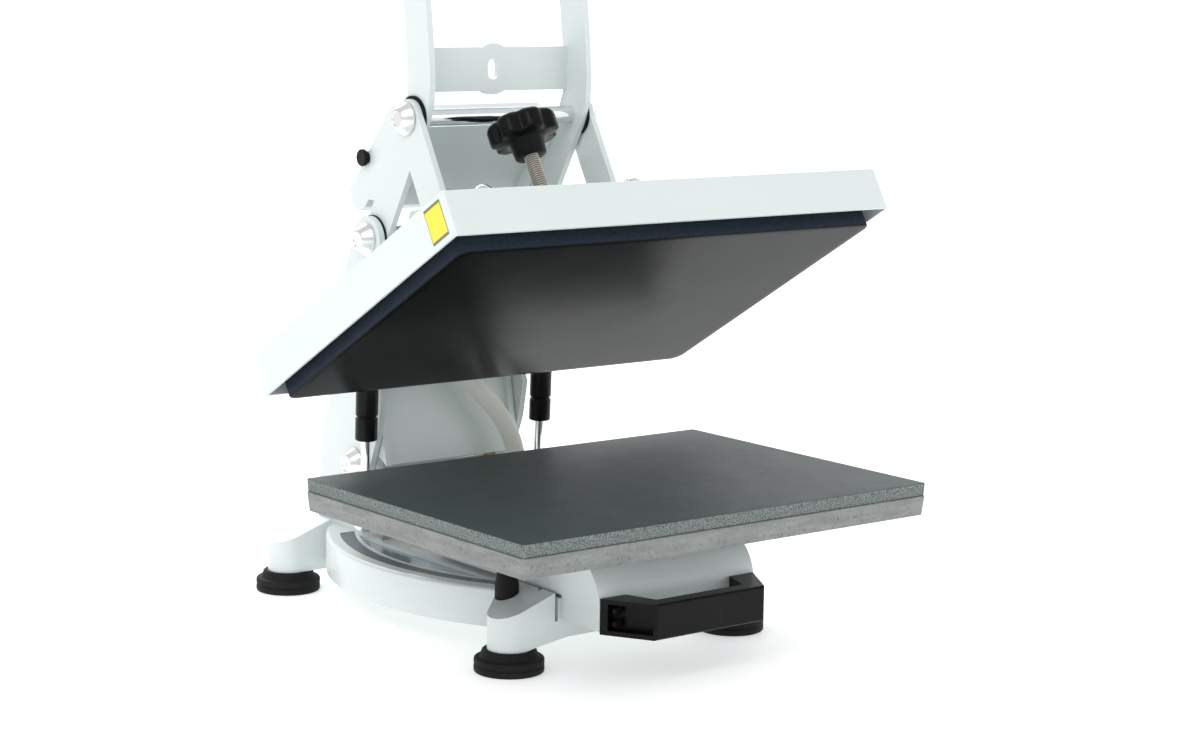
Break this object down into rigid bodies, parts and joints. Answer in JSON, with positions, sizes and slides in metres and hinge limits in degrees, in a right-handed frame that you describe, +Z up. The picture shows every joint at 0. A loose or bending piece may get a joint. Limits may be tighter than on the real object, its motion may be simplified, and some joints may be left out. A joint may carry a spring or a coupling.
{
  "type": "clamshell heat press",
  "caption": "Clamshell heat press with a tilting heated platen, toggle lever, pressure knob, slide-out lower platen and tower base on rubber feet.",
  "frame": {"origin": "middle of the footprint of the whole part, on the floor", "axes": "+X to the operator's right, +Y to the back, +Z up; press shown open with the lever raised"},
  "size_m": [0.4046, 0.458, 0.678],
  "materials": {
    "white_powder_coat": "smooth powder coat",
    "dark_strip": "satin",
    "black_rubber": "matt",
    "zinc_steel": "zinc plated",
    "chrome": "polished",
    "turned_aluminium": "turned, brushed face",
    "black_nylon": "matt moulded",
    "black_plastic": "moulded, slight gloss",
    "woven_sleeve": "woven glass-fibre sleeve",
    "bare_aluminium": "milled edge",
    "silicone": "closed-cell silicone foam",
    "spring_black": "gloss black",
    "bronze": "sintered",
    "platen_coating": "non-stick coating, semi-gloss",
    "insulation": "ceramic fibre",
    "panel_grey": "printed overlay, satin",
    "display_glass": "clear window",
    "board_green": "solder resist"
  },
  "bodies": {
    "base": {"base_shell": "white_powder_coat", "arc_inlays": "dark_strip", "rubber_feet": "black_rubber", "foot_studs": "zinc_steel", "front_bumpers": "black_rubber", "cheek_left": "white_powder_coat", "cheek_right": "white_powder_coat", "main_hinge_shaft": "chrome", "lever_pivot_shaft": "chrome", "pivot_caps": "turned_aluminium", "pivot_washers": "black_nylon", "tower_rear_panel": "white_powder_coat", "mains_module": "black_plastic", "gas_spring_brackets": "zinc_steel", "slide_outer_rails": "zinc_steel", "heater_sleeve": "woven_sleeve"},
    "power_rocker": {"mains_rocker": "black_plastic"},
    "drawer": {"drawer_carriage": "white_powder_coat", "slide_inner_rails": "zinc_steel", "platen_spacers": "turned_aluminium", "lower_platen": "bare_aluminium", "silicone_pad": "silicone", "drawer_handle": "black_plastic", "handle_screws": "spring_black"},
    "swing_frame": {"swing_plate_left": "white_powder_coat", "swing_plate_right": "white_powder_coat", "neck_panel": "white_powder_coat", "crossbeam": "white_powder_coat", "hold_down_magnet": "zinc_steel", "spindle_nut": "zinc_steel", "hinge_bushes": "bronze", "gas_spring_crossrod": "zinc_steel"},
    "upper_platen": {"heat_platen": "platen_coating", "insulation_mat": "insulation", "platen_cover": "white_powder_coat", "platen_mount_plate": "white_powder_coat", "guide_rods": "chrome"},
    "pressure_screw": {"pressure_spindle": "zinc_steel", "pressure_knob": "black_plastic"},
    "lever": {"lever_plate_left": "white_powder_coat", "lever_plate_right": "white_powder_coat", "knee_shaft": "chrome", "knee_caps": "turned_aluminium", "knee_washers": "black_nylon", "lever_cross_plate": "white_powder_coat", "handle_bar": "zinc_steel", "handle_grip": "black_rubber", "control_box": "white_powder_coat", "control_panel": "panel_grey", "display_window": "display_glass", "circuit_board": "board_green"},
    "down_button": {"button_down": "black_plastic"},
    "set_button": {"button_set": "black_plastic"},
    "up_button": {"button_up": "black_plastic"},
    "breaker": {"breaker_button": "black_plastic"},
    "links": {"link_left": "white_powder_coat", "link_right": "white_powder_coat", "link_pins": "turned_aluminium"},
    "gas_tubes": {"gas_spring_tubes": "spring_black"},
    "gas_rods": {"gas_spring_rods": "chrome"}
  },
  "joints": [
    {"name": "swing_close", "type": "hinge", "parent": "base", "child": "swing_frame", "pos_m": [0, 0.1585, 0.108], "axis": [1, 0, 0], "range_deg": [0, 30.4], "deforming": ["heater_sleeve"]},
    {"name": "lever_turn", "type": "hinge", "parent": "base", "child": "lever", "pos_m": [0, 0.123, 0.2943], "axis": [1, 0, 0], "range_deg": [0, 83]},
    {"name": "link_turn", "type": "hinge", "parent": "lever", "child": "links", "pos_m": [0, 0.0681, 0.392], "axis": [1, 0, 0], "range_deg": [-121.7, 0]},
    {"name": "platen_lift", "type": "slide", "parent": "swing_frame", "child": "upper_platen", "axis": [0, 0.506, 0.8625], "range_m": [0, 0.003]},
    {"name": "pressure_knob_turn", "type": "hinge", "parent": "upper_platen", "child": "pressure_screw", "pos_m": [0, 0.00575, 0.33675], "axis": [0, 0.506, 0.8625], "range_deg": [0, 617.2]},
    {"name": "gas_tube_turn", "type": "hinge", "parent": "swing_frame", "child": "gas_tubes", "pos_m": [0, 0.118, 0.213], "axis": [1, 0, 0], "range_deg": [-6.5, 0]},
    {"name": "gas_rod_slide", "type": "slide", "parent": "gas_tubes", "child": "gas_rods", "axis": [0, -0.0349, 0.9994], "range_m": [0, 0.023]},
    {"name": "drawer_slide", "type": "slide", "parent": "base", "child": "drawer", "axis": [0, -1, 0], "range_m": [0, 0.12]},
    {"name": "mains_rocker_tip", "type": "hinge", "parent": "base", "child": "power_rocker", "pos_m": [0.015, 0.1935, 0.092], "axis": [1, 0, 0], "range_deg": [-12, 0]},
    {"name": "button_down_press", "type": "slide", "parent": "lever", "child": "down_button", "axis": [0, -0.7638, -0.6455], "range_m": [0, 0.001], "stiffness_N_per_m": 600},
    {"name": "button_set_press", "type": "slide", "parent": "lever", "child": "set_button", "axis": [0, -0.7638, -0.6455], "range_m": [0, 0.001], "stiffness_N_per_m": 600},
    {"name": "button_up_press", "type": "slide", "parent": "lever", "child": "up_button", "axis": [0, -0.7638, -0.6455], "range_m": [0, 0.001], "stiffness_N_per_m": 600},
    {"name": "breaker_press", "type": "slide", "parent": "lever", "child": "breaker", "axis": [1, 0, 0], "range_m": [0, 0.002], "stiffness_N_per_m": 600}
  ],
  "couplings": [
    {"joint": "lever_turn", "follows": "swing_close", "ratio": 2.7303},
    {"joint": "link_turn", "follows": "swing_close", "ratio": -4.0007},
    {"joint": "gas_tube_turn", "follows": "swing_close", "ratio": -0.21263},
    {"joint": "gas_rod_slide", "follows": "swing_close", "m_per_rad": 0.043183},
    {"joint": "pressure_knob_turn", "follows": "platen_lift", "rad_per_m": 3590.4}
  ]
}
